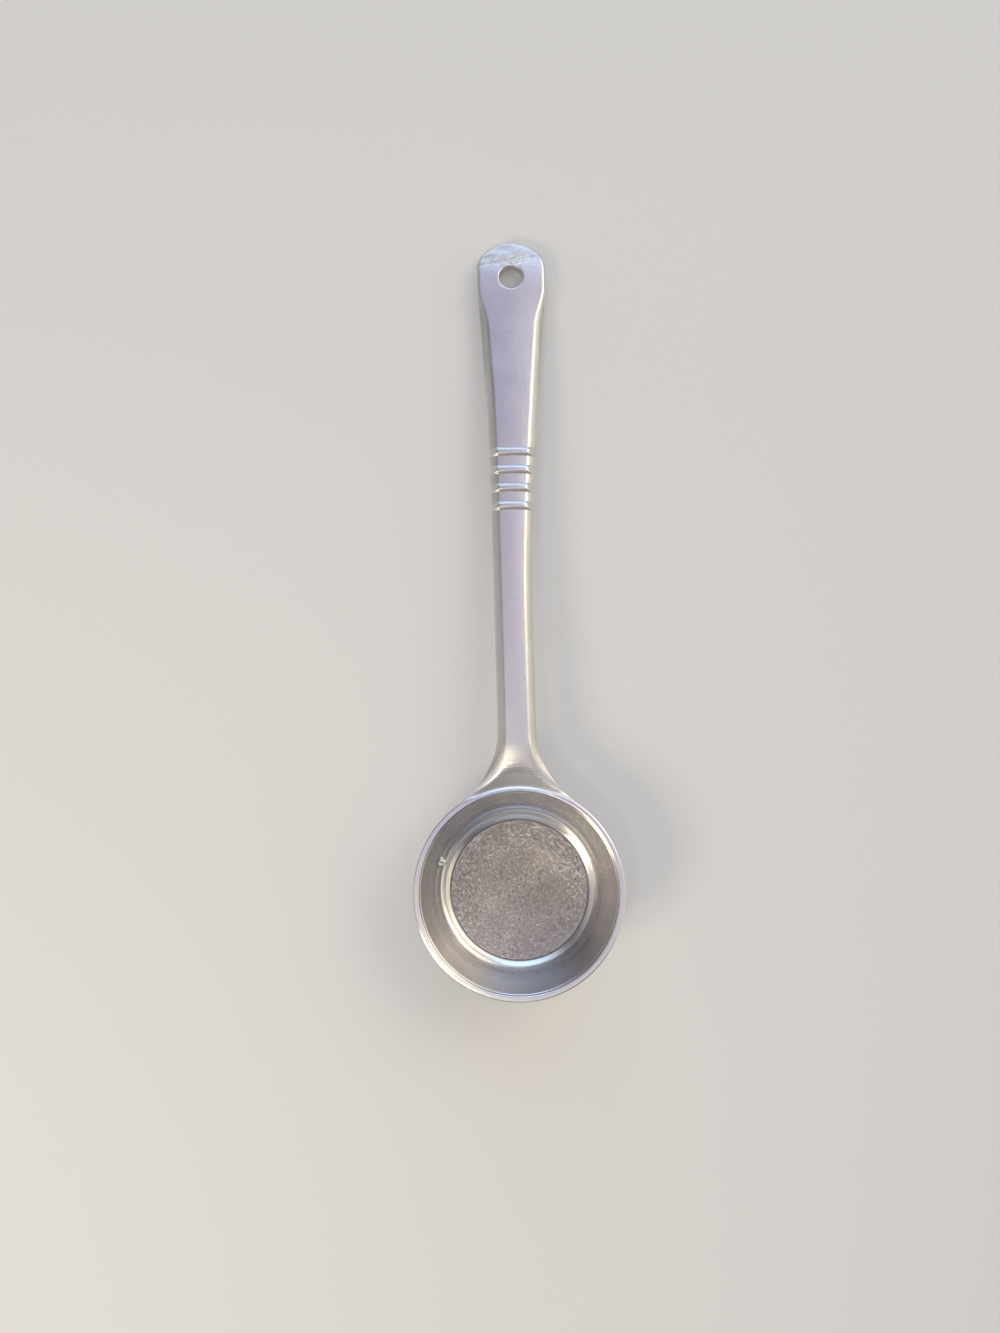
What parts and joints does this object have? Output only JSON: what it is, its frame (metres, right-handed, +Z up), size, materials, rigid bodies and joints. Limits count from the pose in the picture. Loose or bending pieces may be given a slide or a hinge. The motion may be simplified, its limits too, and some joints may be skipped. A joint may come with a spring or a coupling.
{
  "type": "serving spoon",
  "caption": "Cast aluminium serving spoon: round flat-bottomed bowl on a long flat handle that widens to a rounded end, with raised cross ribs and a hanging hole.",
  "frame": {"origin": "on the table, under the middle of the spoon's length and width", "axes": "+Y along the spoon from the bowl to the handle's tip, +Z up from the table it lies on, +X to the right seen from above with the handle away from the viewer"},
  "size_m": [0.076, 0.2788, 0.0329],
  "materials": {
    "turned_aluminium": "bowl: smooth turned wall and rim, rough as-cast floor",
    "satin_aluminium": "handle: cast, rubbed down to a soft satin"
  },
  "bodies": {
    "root": {"bowl": "turned_aluminium", "neck": "satin_aluminium", "shank": "satin_aluminium", "rib_band": "satin_aluminium", "grip": "satin_aluminium", "hanging_end": "satin_aluminium"}
  },
  "joints": []
}
